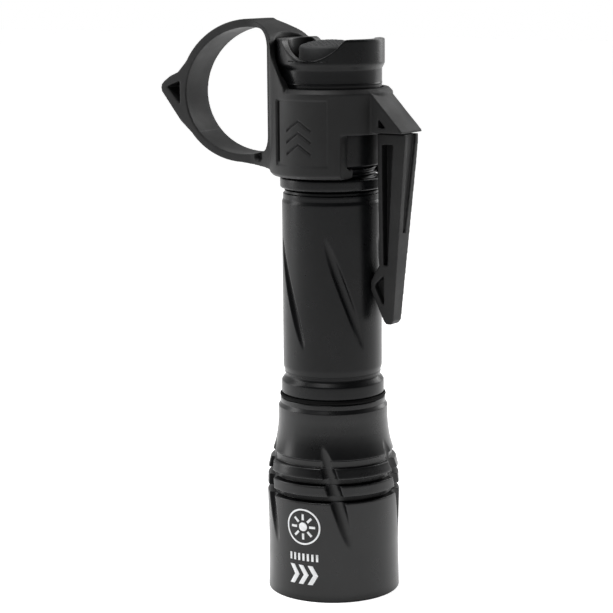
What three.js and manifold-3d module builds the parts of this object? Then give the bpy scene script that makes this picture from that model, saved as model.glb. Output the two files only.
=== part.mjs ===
// Duty flashlight standing on its bezel, tail up, with a finger ring and pocket clip round its tail.
// Millimetres, +Z up along the light's axis, finger ring toward -X, pocket clip toward +X.
import * as THREE from 'three';
import { mergeVertices } from 'three/addons/utils/BufferGeometryUtils.js';
import Module from 'manifold-3d';

const wasm = await Module();
wasm.setup();

// ---------------------------------------------------------------- driving sizes
const lightLength = 142.3; // bezel face to tail rim
const tubeRadius = 12.7;
const headRadius = 17.05;
const cellRadius = 9.2; // 18650 cell
const cellLength = 67.8;
const threadRadius = 11.4; // both tube ends
const threadPitch = 1.25;

const boreClearance = 0.4; // cell in the tube
const threadClearance = 0.2; // male thread in its female thread
const turnClearance = 0.25; // collar on the tailcap skirt
const jointGap = 0.3; // between pieces that turn past each other
const seatGap = 0.1; // between pieces that are pushed together and stay put

// heights along the axis, from the bezel face
const headLength = 50.8;
const sealHeight = 1.0;
const tubeFoot = headLength + sealHeight + seatGap;
const tubeShoulder = 101.4; // rear end of the full tube diameter
const tubeEnd = 118.2; // rear end of the tail thread
const skirtEnd = 110.9; // front end of the tailcap
const boardShelf = 24.6; // front of the emitter board
const housingEnd = 38.3; // rear end of the driver housing

// lock ring and clip collar
const lockRing = { bottom: 104.9, top: 107.7, radius: 13.13, chamfer: 0.3 };
const collar = { bottom: 108.1, top: 130.2, radius: 15.6, topChamfer: 1.1, bottomChamfer: 0.8, flange: 2.4 };

// tailcap
const neckRadius = 12.85;
const shroud = { bottom: 136.1, radius: 13.55, wall: 2.6 };
const scallop = { radius: 10, depth: 5.2, turn: 6 };
const buttonRadius = 8;
const buttonTravel = 1.8;

// finger ring and its web
const ringWidth = 10;
const ringWall = 2.1;
const ringHole = { x: -22.8, z: 128.6, halfLength: 19.4, halfHeight: 16.1, tilt: 12 };
const spur = { x: -50.2, z: 128.6, holeInset: 1.9 };
const webTop = 142.3;

// pocket clip
const clip = { inner: 15.65, outer: 23.6, top: 119.2, tip: 71.2, tipOuter: 19.4, width: 6.5, tipWidth: 4, web: 1.2 };
const roof = { width: 10, top: 130.2, bottom: 119.5 };

// milled flutes: five on the tube and five on the head
const fluteCount = 5;
const tubeFlute = { low: 65.6, lowAngle: -19, high: 92, highAngle: -66, cutter: 1.35 };
const headFlute = { low: 13.6, lowAngle: -41, high: 40, highAngle: -69, highRadius: 14.75, cutter: 1.9 };

const fine = 44; // facets round the large turned pieces
const coarse = 32; // facets round the inner pieces

// ---------------------------------------------------------------- finishes
const finishes = {
  anodised: { color: 0x17181a, roughness: 0.42, metalness: 0.55 },
  bareMetal: { color: 0xb9bcc0, roughness: 0.3, metalness: 0.9 },
  mirror: { color: 0xe4e6e8, roughness: 0.08, metalness: 1 },
  brass: { color: 0xb08a45, roughness: 0.35, metalness: 0.9 },
  nylon: { color: 0x1d1e20, roughness: 0.7, metalness: 0 },
  rubber: { color: 0x111213, roughness: 0.85, metalness: 0 },
  buttonRubber: { color: 0x2b2d2f, roughness: 0.8, metalness: 0 },
  glass: { color: 0xdfe8ea, roughness: 0.05, metalness: 0 },
  circuit: { color: 0x1d4a2c, roughness: 0.6, metalness: 0 },
  whiteBoard: { color: 0xe9e9e4, roughness: 0.6, metalness: 0 },
  phosphor: { color: 0xe8d24a, roughness: 0.5, metalness: 0 },
  wrap: { color: 0x27548a, roughness: 0.5, metalness: 0 },
  switchBlack: { color: 0x1a1a1a, roughness: 0.6, metalness: 0 },
};

// ---------------------------------------------------------------- tools
const radians = (degrees) => (degrees * Math.PI) / 180;
const onAxis = (radius, degrees, z) =>
  new THREE.Vector3(radius * Math.cos(radians(degrees)), radius * Math.sin(radians(degrees)), z);

// closed triangle solid from a three.js geometry
function solid(geometry) {
  const bare = geometry.clone();
  bare.deleteAttribute('normal');
  bare.deleteAttribute('uv');
  const joined = mergeVertices(bare, 1e-4);
  const index = Array.from(joined.index.array);
  const corners = [];
  for (let i = 0; i < index.length; i += 3) {
    const [a, b, c] = index.slice(i, i + 3);
    if (a !== b && b !== c && c !== a) corners.push(a, b, c);
  }
  const vertProperties = new Float32Array(joined.attributes.position.array);
  const build = (triVerts) =>
    new wasm.Manifold(new wasm.Mesh({ numProp: 3, vertProperties, triVerts: new Uint32Array(triVerts) }));
  const made = build(corners);
  if (made.volume() > 0) return made;
  const turned = [];
  for (let i = 0; i < corners.length; i += 3) turned.push(corners[i], corners[i + 2], corners[i + 1]);
  return build(turned);
}

// turned solid about Z from [radius, z] points
function turned(points, facets = fine) {
  const closed = points[0][0] === 0 ? points : [...points, points[0]];
  const geometry = new THREE.LatheGeometry(closed.map(([r, z]) => new THREE.Vector2(r, z)), facets);
  return solid(geometry.rotateX(Math.PI / 2));
}

const tubeRing = (inner, outer, bottom, top, facets = coarse) =>
  turned([[inner, bottom], [outer, bottom], [outer, top], [inner, top]], facets);
const disc = (radius, bottom, top, facets = coarse) =>
  turned([[0, bottom], [radius, bottom], [radius, top], [0, top]], facets);

// solid ring with a round section
function roundRing(inner, outer, bottom, top) {
  const points = [];
  const steps = 8;
  for (let i = 0; i < steps; i += 1) {
    const angle = (2 * Math.PI * i) / steps;
    const r = (inner + outer) / 2 + ((outer - inner) / 2) * Math.cos(angle);
    points.push([r, (bottom + top) / 2 + ((top - bottom) / 2) * Math.sin(angle)]);
  }
  return turned(points, coarse);
}

function box(x0, x1, y0, y1, z0, z1) {
  const geometry = new THREE.BoxGeometry(x1 - x0, y1 - y0, z1 - z0);
  return solid(geometry.translate((x0 + x1) / 2, (y0 + y1) / 2, (z0 + z1) / 2));
}

// flat outline of [x, z] points made into a plate of the given width, centred on Y = 0
function plateXZ(points, width) {
  const shape = new THREE.Shape(points.map(([x, z]) => new THREE.Vector2(x, z)));
  const geometry = new THREE.ExtrudeGeometry(shape, { depth: width, bevelEnabled: false });
  return solid(geometry.rotateX(Math.PI / 2).translate(0, width / 2, 0));
}

// flat outline of [x, y] points raised from z0 to z1
function plateXY(points, z0, z1) {
  const shape = new THREE.Shape(points.map(([x, y]) => new THREE.Vector2(x, y)));
  return solid(new THREE.ExtrudeGeometry(shape, { depth: z1 - z0, bevelEnabled: false }).translate(0, 0, z0));
}

// flat outline of [y, z] points made into a block from x0 to x1
function plateYZ(points, x0, x1) {
  const shape = new THREE.Shape(points.map(([y, z]) => new THREE.Vector2(y, z)));
  const geometry = new THREE.ExtrudeGeometry(shape, { depth: x1 - x0, bevelEnabled: false });
  return solid(geometry.rotateX(Math.PI / 2).rotateZ(Math.PI / 2).translate(x0, 0, 0));
}

// cylinder along the line between two points, lengthened by extra at both ends
function rod(from, to, radius, extra = 0, facets = 20) {
  const along = new THREE.Vector3().subVectors(to, from);
  const geometry = new THREE.CylinderGeometry(radius, radius, along.length() + 2 * extra, facets);
  const turn = new THREE.Quaternion().setFromUnitVectors(new THREE.Vector3(0, 1, 0), along.normalize());
  geometry.applyQuaternion(turn);
  const middle = new THREE.Vector3().addVectors(from, to).multiplyScalar(0.5);
  return solid(geometry.translate(middle.x, middle.y, middle.z));
}

// five straight cutter passes; the cutter's lowest line runs through the two surface points
function flutes(path, lowRadius, highRadius) {
  let cuts = null;
  for (let i = 0; i < fluteCount; i += 1) {
    const turn = (360 / fluteCount) * i;
    const low = onAxis(lowRadius, path.lowAngle + turn, path.low);
    const high = onAxis(highRadius, path.highAngle + turn, path.high);
    const middleAngle = (path.lowAngle + path.highAngle) / 2 + turn;
    const outward = onAxis(path.cutter, middleAngle, 0);
    const cut = rod(low.clone().add(outward), high.clone().add(outward), path.cutter, 2, 14);
    cuts = cuts ? cuts.add(cut) : cut;
  }
  return cuts;
}

// coil spring standing on Z
function coil(radius, wire, bottom, top, turns) {
  class Helix extends THREE.Curve {
    getPoint(t) {
      const angle = 2 * Math.PI * turns * t;
      const z = bottom + wire + (top - bottom - 2 * wire) * t;
      return new THREE.Vector3(radius * Math.cos(angle), radius * Math.sin(angle), z);
    }
  }
  const section = new THREE.Shape();
  section.absarc(0, 0, wire, 0, 2 * Math.PI);
  return solid(new THREE.ExtrudeGeometry(section, {
    steps: Math.round(turns * 14),
    curveSegments: 4,
    extrudePath: new Helix(),
    bevelEnabled: false,
  }));
}

const part = new THREE.Group();
part.name = 'duty_flashlight';

function addPiece(name, body, finish) {
  const { vertProperties, triVerts } = body.getMesh();
  const geometry = new THREE.BufferGeometry();
  geometry.setAttribute('position', new THREE.BufferAttribute(Float32Array.from(vertProperties), 3));
  geometry.setIndex(new THREE.BufferAttribute(Uint32Array.from(triVerts), 1));
  geometry.computeVertexNormals();
  const mesh = new THREE.Mesh(geometry, new THREE.MeshStandardMaterial(finishes[finish]));
  mesh.name = name;
  part.add(mesh);
}

// ---------------------------------------------------------------- head
const mouthRadius = headRadius - 2.15;
const femaleRadius = threadRadius + threadClearance;
const housingBore = 11;
const finRoot = 15.15;
const finWidth = 2.7;
const finPitch = 4.4;
const firstFinTop = 35;

function headOutline() {
  const points = [
    [mouthRadius, 0],
    [headRadius - 0.15, 0],
    [headRadius, 0.2],
    [headRadius - 0.15, 6],
    [headRadius - 0.2, 12],
    [headRadius - 0.1, 18],
    [headRadius + 0.1, firstFinTop - 2 * finPitch],
  ];
  const finRadii = [[headRadius + 0.05, headRadius - 0.1], [headRadius - 0.15, headRadius - 0.8]];
  finRadii.forEach(([lowRadius, highRadius], i) => {
    const finTop = firstFinTop - finPitch * (1 - i);
    points.push([finRoot, finTop - finPitch], [finRoot, finTop - finWidth]);
    points.push([lowRadius, finTop - finWidth], [highRadius, finTop]);
  });
  points.push([finRoot, firstFinTop], [finRoot, firstFinTop + finPitch - finWidth]);
  points.push([15.6, 36.9], [15.1, 38.4], [14.65, 40.3], [14.3, 42.6], [14.07, 45.5]);
  points.push([14.1, 48.5], [13.5, 49.4], [13.5, headLength - 0.2], [13.3, headLength]);
  points.push([femaleRadius + 0.3, headLength], [femaleRadius, headLength - 0.3]);
  points.push([femaleRadius, housingEnd + 0.4], [housingBore, housingEnd + 0.4]);
  points.push([housingBore, boardShelf - 0.2], [mouthRadius, boardShelf - 0.2]);
  return points;
}

const headFlutes = flutes(headFlute, headRadius, headFlute.highRadius);
addPiece('head_body', turned(headOutline()).subtract(headFlutes), 'anodised');

// lens stack, from the mouth inward
const lensRadius = mouthRadius - 0.4;
const retainer = { bottom: 0.5, top: 2.9, inner: 12.8 };
const lensTop = retainer.top + 2;
const gasketTop = lensTop + 0.7;
const spannerSlot = box(retainer.inner - 1, mouthRadius, -1, 1, retainer.bottom - 1, retainer.bottom + 1.2);
const spannerSlots = spannerSlot.add(spannerSlot.rotate([0, 0, 180]));
const retainerBody = tubeRing(retainer.inner, mouthRadius - 0.2, retainer.bottom, retainer.top);
addPiece('lens_retaining_ring', retainerBody.subtract(spannerSlots), 'anodised');
addPiece('lens', disc(lensRadius, retainer.top, lensTop), 'glass');
addPiece('lens_gasket', tubeRing(13.3, lensRadius, lensTop, gasketTop), 'rubber');

// mirror bowl
const bowl = { rim: 13.1, throat: 3.4, throatHeight: boardShelf - 0.7 };
function bowlOutline() {
  const points = [];
  const steps = 8;
  const depth = bowl.throatHeight - gasketTop;
  const curve = (bowl.rim ** 2 - bowl.throat ** 2) / depth;
  for (let i = 0; i <= steps; i += 1) {
    const z = bowl.throatHeight - (depth * i) / steps;
    points.push([Math.sqrt(bowl.throat ** 2 + curve * (bowl.throatHeight - z)), z]);
  }
  points.push([lensRadius, gasketTop], [lensRadius, gasketTop + 1.5], [13.4, gasketTop + 2.2]);
  points.push([10.8, 15.5], [7.4, 21.5], [5.2, boardShelf], [bowl.throat, boardShelf]);
  return points;
}
addPiece('reflector', turned(bowlOutline(), coarse), 'mirror');

// emitter, driver and front contact
const boardThickness = 1.6;
const emitterBase = box(-1.75, 1.75, -1.75, 1.75, boardShelf - 0.8, boardShelf);
const emitterDome = solid(new THREE.SphereGeometry(1.55, 16, 12).translate(0, 0, boardShelf - 0.7));
const domeKeep = box(-2, 2, -2, 2, boardShelf - 3, boardShelf);
addPiece('led_emitter', emitterBase.add(emitterDome.intersect(domeKeep)), 'phosphor');
addPiece('emitter_board', disc(housingBore - 0.6, boardShelf, boardShelf + boardThickness), 'whiteBoard');

const housingFront = boardShelf + boardThickness;
const driverBottom = housingEnd - 1.5;
const housingRadius = housingBore - 0.15;
const housingInner = 9.6;
const driverHousing = turned([
  [0, housingFront], [housingRadius, housingFront], [housingRadius, housingEnd],
  [housingInner, housingEnd], [housingInner, driverBottom - 0.05], [housingInner - 1.2, driverBottom - 0.05],
  [housingInner - 1.2, housingFront + 3.2], [0, housingFront + 3.2],
], coarse);
addPiece('driver_housing', driverHousing, 'brass');
addPiece('driver_board', disc(housingInner - 0.15, driverBottom, housingEnd - 0.1), 'circuit');
const cellFront = 43;
addPiece('driver_spring', coil(3.2, 0.4, housingEnd - 0.08, cellFront - 0.05, 3.5), 'bareMetal');

// ---------------------------------------------------------------- seals
const sealGroove = { depth: 0.9, width: 1.9 };
const grooveRadius = threadRadius - sealGroove.depth;
const frontGroove = headLength - 4.6;
const rearGroove = 113.4;
const seal = (middle) =>
  roundRing(grooveRadius + 0.05, threadRadius + threadClearance - 0.05, middle - 0.8, middle + 0.8);
const seamSeal = turned([
  [threadRadius + threadClearance, headLength + seatGap / 2],
  [13.4, headLength + seatGap / 2],
  [13.65, headLength + seatGap / 2 + 0.3],
  [13.65, tubeFoot - seatGap / 2 - 0.3],
  [13.4, tubeFoot - seatGap / 2],
  [threadRadius + threadClearance, tubeFoot - seatGap / 2],
]);
addPiece('head_seam_seal', seamSeal, 'rubber');
addPiece('front_tube_seal', seal(frontGroove), 'rubber');
addPiece('rear_tube_seal', seal(rearGroove), 'rubber');

// ---------------------------------------------------------------- battery tube
const tubeBore = cellRadius + boreClearance;
const tubeFront = housingEnd + 0.9;

function tubeOutline() {
  const half = sealGroove.width / 2;
  const points = [
    [tubeBore, tubeFront], [threadRadius - 0.4, tubeFront], [threadRadius, tubeFront + 0.5],
    [threadRadius, frontGroove - half], [grooveRadius, frontGroove - half],
    [grooveRadius, frontGroove + half], [threadRadius, frontGroove + half],
    [threadRadius, tubeFoot], [tubeRadius + 0.3, tubeFoot], [tubeRadius + 0.5, tubeFoot + 0.3],
    [tubeRadius + 0.5, 55.2], [tubeRadius - 0.45, 56.4], [tubeRadius - 0.5, 57.1], [tubeRadius - 0.3, 57.3],
    [tubeRadius - 0.35, 57.8], [tubeRadius, 59], [tubeRadius, tubeShoulder], [tubeRadius - 0.3, 102.1],
    [tubeRadius - 0.3, 103.5], [tubeRadius - 0.7, 103.7], [tubeRadius - 0.7, 104.3], [threadRadius - 0.5, 104.4],
  ];
  const threadStart = 104.8;
  const ridges = 5; // only the bare part of the thread has its ridges
  for (let i = 0; i < ridges; i += 1) {
    const z = threadStart + threadPitch * i;
    points.push([threadRadius - 0.5, z], [threadRadius, z + threadPitch / 2]);
  }
  points.push([threadRadius - 0.5, threadStart + threadPitch * ridges]);
  points.push([threadRadius, rearGroove - half], [grooveRadius, rearGroove - half]);
  points.push([grooveRadius, rearGroove + half], [threadRadius, rearGroove + half]);
  points.push([threadRadius, tubeEnd - 0.5], [threadRadius - 0.4, tubeEnd], [tubeBore, tubeEnd]);
  return points;
}
const tubeFlutes = flutes(tubeFlute, tubeRadius, tubeRadius);
addPiece('battery_tube', turned(tubeOutline()).subtract(tubeFlutes), 'anodised');

const cellCap = 1.2;
const cellBody = cellFront + cellCap;
const cellEnd = cellBody + cellLength;
const cellOutline = [
  [0, cellBody], [cellRadius - 0.5, cellBody], [cellRadius, cellBody + 0.5],
  [cellRadius, cellEnd - 0.4], [cellRadius - 0.4, cellEnd], [0, cellEnd],
];
addPiece('battery_cell', turned(cellOutline, coarse), 'wrap');
addPiece('battery_contact_cap', disc(4, cellFront, cellBody, 24), 'bareMetal');

// ---------------------------------------------------------------- lock ring
const lockInner = threadRadius + threadClearance;
const lockOutline = [
  [lockInner, lockRing.bottom], [lockRing.radius - lockRing.chamfer, lockRing.bottom],
  [lockRing.radius, lockRing.bottom + lockRing.chamfer], [lockRing.radius, lockRing.top - lockRing.chamfer],
  [lockRing.radius - lockRing.chamfer, lockRing.top], [lockInner, lockRing.top],
];
addPiece('lock_ring', turned(lockOutline), 'anodised');

// ---------------------------------------------------------------- tailcap
const buttonBore = buttonRadius + turnClearance;
const flangeRadius = 10.3;
const chamberRadius = flangeRadius + 0.15;
const flangeTop = 133.6;
const boardSeat = 122.1; // rear face of the switch board
const shroudInner = shroud.radius - shroud.wall;
const tailOutline = [
  [femaleRadius, skirtEnd], [neckRadius - 0.3, skirtEnd], [neckRadius, skirtEnd + 0.3],
  [neckRadius, 131], [neckRadius + 0.1, 131.2], [neckRadius, 131.5], [neckRadius, shroud.bottom - 1.3],
  [shroud.radius, shroud.bottom], [shroud.radius, lightLength - 0.4], [shroud.radius - 0.4, lightLength],
  [shroudInner + 0.4, lightLength], [shroudInner, lightLength - 0.4], [shroudInner, shroud.bottom + 0.4],
  [buttonBore, shroud.bottom + 0.4], [buttonBore, flangeTop + 0.1], [chamberRadius, flangeTop + 0.1],
  [chamberRadius, boardSeat + 0.1], [femaleRadius, boardSeat + 0.1],
];
const cutHeight = lightLength - scallop.depth + scallop.radius;
const cutReach = shroud.radius + 3;
const scallopTurn = scallop.turn - 90;
const scallopCut = rod(
  onAxis(cutReach, scallopTurn, cutHeight),
  onAxis(cutReach, scallopTurn + 180, cutHeight),
  scallop.radius,
  0,
  40,
);
const scallopKeep = tubeRing(shroudInner - 1, cutReach + 1, shroud.bottom + 0.5, cutHeight + scallop.radius, fine);
const tailcapBody = turned(tailOutline).subtract(scallopCut.intersect(scallopKeep));
addPiece('tailcap_shell', tailcapBody, 'anodised');

// tail button with its grip points
const dome = { top: 142, rise: 1.4 };
const flangeBottom = flangeTop - 1.4;
const buttonRecess = 5.6;
const pressFace = flangeBottom + 2.4;
const buttonEdge = dome.top - dome.rise;
const buttonOutline = [
  [0, pressFace], [buttonRecess, pressFace], [buttonRecess, flangeBottom], [flangeRadius, flangeBottom],
  [flangeRadius, flangeTop], [buttonRadius, flangeTop], [buttonRadius, buttonEdge - 0.4],
  [buttonRadius - 0.5, buttonEdge], [5.9, buttonEdge + dome.rise * 0.45], [3.2, buttonEdge + dome.rise * 0.84],
  [0, dome.top],
];
let buttonBody = turned(buttonOutline, coarse);
const gripPitch = 2.1;
const gripReach = 3;
for (let i = -gripReach; i <= gripReach; i += 1) {
  const floor = dome.top - 0.35 - 0.018 * (gripPitch * i) ** 2;
  const groove = box(-buttonRadius, buttonRadius, gripPitch * i - 0.2, gripPitch * i + 0.2, floor, dome.top + 1);
  buttonBody = buttonBody.subtract(groove).subtract(groove.rotate([0, 0, 90]));
}
addPiece('tail_button', buttonBody.rotate([0, 0, scallop.turn + 45]), 'buttonRubber');

// switch
const boardBottom = boardSeat - 1.7;
const switchTop = flangeBottom - buttonTravel - 0.4;
const plungerWell = switchTop - 4;
const plunger = { radius: 2.4, bottom: plungerWell + buttonTravel + 0.6 };
const switchBlock = box(-5.5, 5.5, -5.5, 5.5, boardSeat, switchTop);
const well = disc(plunger.radius + 0.3, plungerWell, switchTop + 1, 24);
addPiece('switch_housing', switchBlock.subtract(well), 'switchBlack');
addPiece('switch_plunger', disc(plunger.radius, plunger.bottom, pressFace - 0.02, 24), 'whiteBoard');
addPiece('switch_board', disc(femaleRadius - 0.3, boardBottom, boardSeat), 'circuit');
const clampBottom = tubeEnd + 0.5;
const clampTop = boardBottom;
const clampRing = tubeRing(8, femaleRadius - 0.15, clampBottom, clampTop);
const clampSlots = box(-femaleRadius, femaleRadius, -1, 1, clampBottom - 1, clampBottom + 0.8);
addPiece('switch_clamp_ring', clampRing.subtract(clampSlots), 'brass');
addPiece('tail_spring', coil(4.6, 0.5, cellEnd + 0.05, boardBottom - 0.02, 4.5), 'bareMetal');

// ---------------------------------------------------------------- finger ring collar
const collarInner = neckRadius + turnClearance;
const webInner = shroud.radius + 0.5;
const flangeInner = threadRadius + jointGap;

function ellipse(grow) {
  const points = [];
  const steps = 48;
  const tilt = radians(ringHole.tilt);
  for (let i = 0; i < steps; i += 1) {
    const angle = (2 * Math.PI * i) / steps;
    const along = (ringHole.halfLength + grow) * Math.cos(angle);
    const across = (ringHole.halfHeight + grow) * Math.sin(angle);
    points.push([
      ringHole.x + along * Math.cos(tilt) - across * Math.sin(tilt),
      ringHole.z + along * Math.sin(tilt) + across * Math.cos(tilt),
    ]);
  }
  return points;
}

// seen from above: a straight band that flares in two hollow curves onto the collar
function bandPlan() {
  const half = ringWidth / 2;
  const flareStart = -22;
  const flareEnd = -9.5;
  const flareWidth = 12.1;
  const steps = 8;
  const side = [];
  for (let i = 0; i <= steps; i += 1) {
    const t = i / steps;
    side.push([flareStart + (flareEnd - flareStart) * t, half + (flareWidth - half) * t ** 1.9]);
  }
  const farEnd = spur.x - 2;
  const upper = [[farEnd, half], ...side, [-2, flareWidth]];
  const lower = upper.map(([x, y]) => [x, -y]).reverse();
  return [...lower, ...upper];
}

const wide = 2 * collar.radius + 4; // wider than anything it is cut against
const holeEdge = -14.2; // straight side of the ring's opening, beside the collar
const ringOuter = plateXZ(ellipse(ringWall), wide);
const ringFar = box(spur.x - 5, -20.4, -wide, wide, collar.bottom - 5, lightLength + 10);
const spurPlate = plateXZ([
  [spur.x + 0.2, spur.z - 0.9], [-44, ringHole.z - 8.4], [-36, ringHole.z - 15.1], [-38, ringHole.z],
  [-39.5, ringHole.z + 9.8], [-42.6, ringHole.z + 6.4], [-44.6, ringHole.z + 4.3], [-47.2, ringHole.z + 3.2],
  [spur.x + 1.1, spur.z + 1.9], [spur.x + 0.1, spur.z + 0.9], [spur.x, spur.z],
], wide);
// lower edge runs level into the foot of the collar
const footPlate = plateXZ([
  [-29, collar.bottom + 3.1], [-24, collar.bottom + 2.1], [-18, collar.bottom + 1.5], [-9, collar.bottom + 0.9],
  [-9, collar.bottom + 8], [-20, collar.bottom + 8],
], wide);
// edge of the web, up from the collar and over its top to the ring
const webPlate = plateXZ([
  [-4.1, collar.top - 1.5], [-4.3, collar.top], [-5.6, 132], [-7.4, 134.5], [-9, 136.2], [-10.4, 137.7],
  [-11.4, 139.3], [-12, 141], [-12.6, webTop - 0.1], [-13.6, webTop + 1], [-15.2, webTop + 2.1],
  [-17.6, webTop + 3.3], [-20.4, webTop + 4.4], [-22, webTop + 4.6], [-22, collar.bottom + 5],
  [-9, collar.bottom + 5], [-9, collar.top - 1.5],
], wide);
const spurHole = plateXZ([
  [spur.x + spur.holeInset, spur.z + 0.4], [-44.1, spur.z + 2], [-44.1, spur.z - 4.1],
], wide);
const holeCut = box(-60, holeEdge, -wide, wide, collar.bottom - 5, lightLength + 10);
const ringHoleBody = plateXZ(ellipse(0), wide).intersect(holeCut);
// rounded corners where the ring's opening meets the collar
function cornerFillet(x, z, radius, zEdge) {
  const corner = box(x, holeEdge + 2, -wide, wide, Math.min(z, zEdge), Math.max(z, zEdge));
  return corner.subtract(rod(new THREE.Vector3(x, -wide, z), new THREE.Vector3(x, wide, z), radius, 1, 40));
}
const upperFillet = cornerFillet(holeEdge - 5, 139.8, 5, webTop + 3);
const lowerFillet = cornerFillet(holeEdge - 4.8, 117.7, 4.8, collar.bottom + 3);
const bandBlock = plateXY(bandPlan(), collar.bottom, lightLength + 8);
const shellOutline = [
  [0, collar.bottom], [collar.radius - collar.bottomChamfer, collar.bottom],
  [collar.radius, collar.bottom + collar.bottomChamfer], [collar.radius, collar.top - collar.topChamfer],
  [collar.radius - collar.topChamfer, collar.top], [0, collar.top],
];
const webShell = disc(collar.radius, collar.top - 2, lightLength + 8, fine).intersect(webPlate);
const band = ringOuter
  .intersect(ringFar)
  .add(spurPlate)
  .add(footPlate)
  .add(webPlate)
  .subtract(ringHoleBody)
  .add(upperFillet.intersect(webPlate))
  .add(lowerFillet)
  .intersect(bandBlock);
const roofPlate = plateXZ([
  [11, roof.top - 0.4], [14.2, roof.top - 0.4], [clip.outer, roof.bottom + 0.5], [clip.outer, roof.bottom],
  [11, roof.bottom],
], roof.width);
const roofHole = plateXZ([[16.9, 120.7], [19, 120.7], [16.9, 123.1]], roof.width + 2);
const collarBore = turned([
  [0, collar.bottom - 1], [flangeInner, collar.bottom - 1], [flangeInner, collar.bottom + collar.flange],
  [collarInner, collar.bottom + collar.flange], [collarInner, 131.8], [webInner, 133.6],
  [webInner, lightLength + 12], [0, lightLength + 12],
]);
const clipSideCut = box(10.2, 30, -wide, wide, collar.bottom - 1, roof.bottom - 0.5);
const clipSideRoom = box(clip.inner - 0.35, 30, -wide, wide, collar.bottom - 1, roof.bottom);
const panelKeep = tubeRing(collar.radius - 0.35, collar.radius + 1, 111.3, 127.6, fine);
const panel = box(-7.6, 7.6, -collar.radius - 1, 0, 111, 128).intersect(panelKeep);
const collarBody = turned(shellOutline)
  .add(webShell)
  .add(band)
  .add(roofPlate)
  .subtract(spurHole)
  .subtract(roofHole)
  .subtract(collarBore)
  .subtract(clipSideCut)
  .subtract(clipSideRoom)
  .subtract(panel);
addPiece('finger_ring_collar', collarBody, 'nylon');

// ---------------------------------------------------------------- pocket clip
const padInner = tubeRadius + jointGap;
const armOutline = [
  [clip.inner, clip.top], [clip.inner, 86.2], [padInner, 82], [padInner, 79.8], [16.6, 72], [17.3, clip.tip],
  [18.7, clip.tip], [clip.tipOuter, 72.2], [clip.outer, 117.5], [clip.outer, clip.top],
];
const armSlot = [[16.9, 116.6], [20.1, 116.6], [18, 86.2], [16.8, 86.2]];
const padHole = [[16.8, 83.6], [14.3, 81.2], [14.3, 80.4], [16.7, 75.6]];
const armWeb = box(10, 30, -clip.web / 2, clip.web / 2, clip.tip, clip.top); // left between the pockets of both sides
const armPlate = plateXZ(armOutline, clip.width)
  .subtract(plateXZ(armSlot, clip.width + 2).subtract(armWeb))
  .subtract(plateXZ(padHole, clip.width + 2).subtract(armWeb));
const armWidth = plateYZ([
  [-clip.width / 2, clip.top + 1], [-clip.width / 2, 112], [-clip.tipWidth / 2, clip.tip - 1],
  [clip.tipWidth / 2, clip.tip - 1], [clip.width / 2, 112], [clip.width / 2, clip.top + 1],
], 10, 30);
const channelTaper = plateYZ([[-2.1, clip.top + 1], [-0.6, 94.5], [0.6, 94.5], [2.1, clip.top + 1]], 10, 30);
const channelFloor = plateXZ([
  [clip.outer - 0.7, clip.top + 1], [clip.outer - 0.7, 117.5], [20.9, 94.5], [22.5, 94.5],
  [clip.outer + 2, clip.top + 1],
], clip.width);
const armBody = armPlate.intersect(armWidth).subtract(channelTaper.intersect(channelFloor));
addPiece('pocket_clip_arm', armBody, 'nylon');

// the spur and the clip reach different distances from the axis: the finished part is centred on its footprint
part.position.x = -(spur.x + clip.outer) / 2;

export default part;
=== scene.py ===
import math

import bmesh
import bpy
import numpy as np
from mathutils import Matrix, Vector


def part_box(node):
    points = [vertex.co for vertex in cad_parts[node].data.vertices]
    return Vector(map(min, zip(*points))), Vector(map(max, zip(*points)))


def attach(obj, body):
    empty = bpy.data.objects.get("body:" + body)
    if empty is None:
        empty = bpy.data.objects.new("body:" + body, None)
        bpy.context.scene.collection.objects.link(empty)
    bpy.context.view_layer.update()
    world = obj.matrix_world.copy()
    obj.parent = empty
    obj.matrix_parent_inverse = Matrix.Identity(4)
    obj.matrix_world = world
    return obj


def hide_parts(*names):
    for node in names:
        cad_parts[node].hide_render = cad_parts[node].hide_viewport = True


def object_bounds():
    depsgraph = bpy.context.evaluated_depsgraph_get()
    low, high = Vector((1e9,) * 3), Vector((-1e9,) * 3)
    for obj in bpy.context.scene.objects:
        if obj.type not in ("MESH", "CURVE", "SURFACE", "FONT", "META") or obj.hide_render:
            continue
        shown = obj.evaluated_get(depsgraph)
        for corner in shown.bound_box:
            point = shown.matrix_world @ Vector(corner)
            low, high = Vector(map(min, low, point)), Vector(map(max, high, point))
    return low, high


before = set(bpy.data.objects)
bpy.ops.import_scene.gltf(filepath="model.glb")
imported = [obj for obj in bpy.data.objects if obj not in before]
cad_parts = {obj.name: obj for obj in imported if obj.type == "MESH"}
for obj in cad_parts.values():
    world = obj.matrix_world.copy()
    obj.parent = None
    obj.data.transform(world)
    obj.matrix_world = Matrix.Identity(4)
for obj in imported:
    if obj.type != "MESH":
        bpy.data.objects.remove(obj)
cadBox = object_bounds()
mm = 0.001

ringLow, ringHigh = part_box("lock_ring")
axisX = (ringLow.x + ringHigh.x) / 2  # the light's axis, metres
axisY = (ringLow.y + ringHigh.y) / 2


def newMaterial(name):
    material = bpy.data.materials.new(name)
    material.use_nodes = True
    return material, material.node_tree, material.node_tree.nodes["Principled BSDF"]


def addNode(tree, kind, **values):
    node = tree.nodes.new(kind)
    for key, value in values.items():
        if hasattr(node, key):
            setattr(node, key, value)
        else:
            node.inputs[key.replace("_", " ")].default_value = value
    return node


def noiseAt(tree, coords, scale, detail=4.0, roughness=0.55):
    noise = addNode(tree, "ShaderNodeTexNoise", Scale=scale, Detail=detail, Roughness=roughness)
    tree.links.new(coords, noise.inputs["Vector"])
    return noise.outputs["Fac"]


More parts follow.
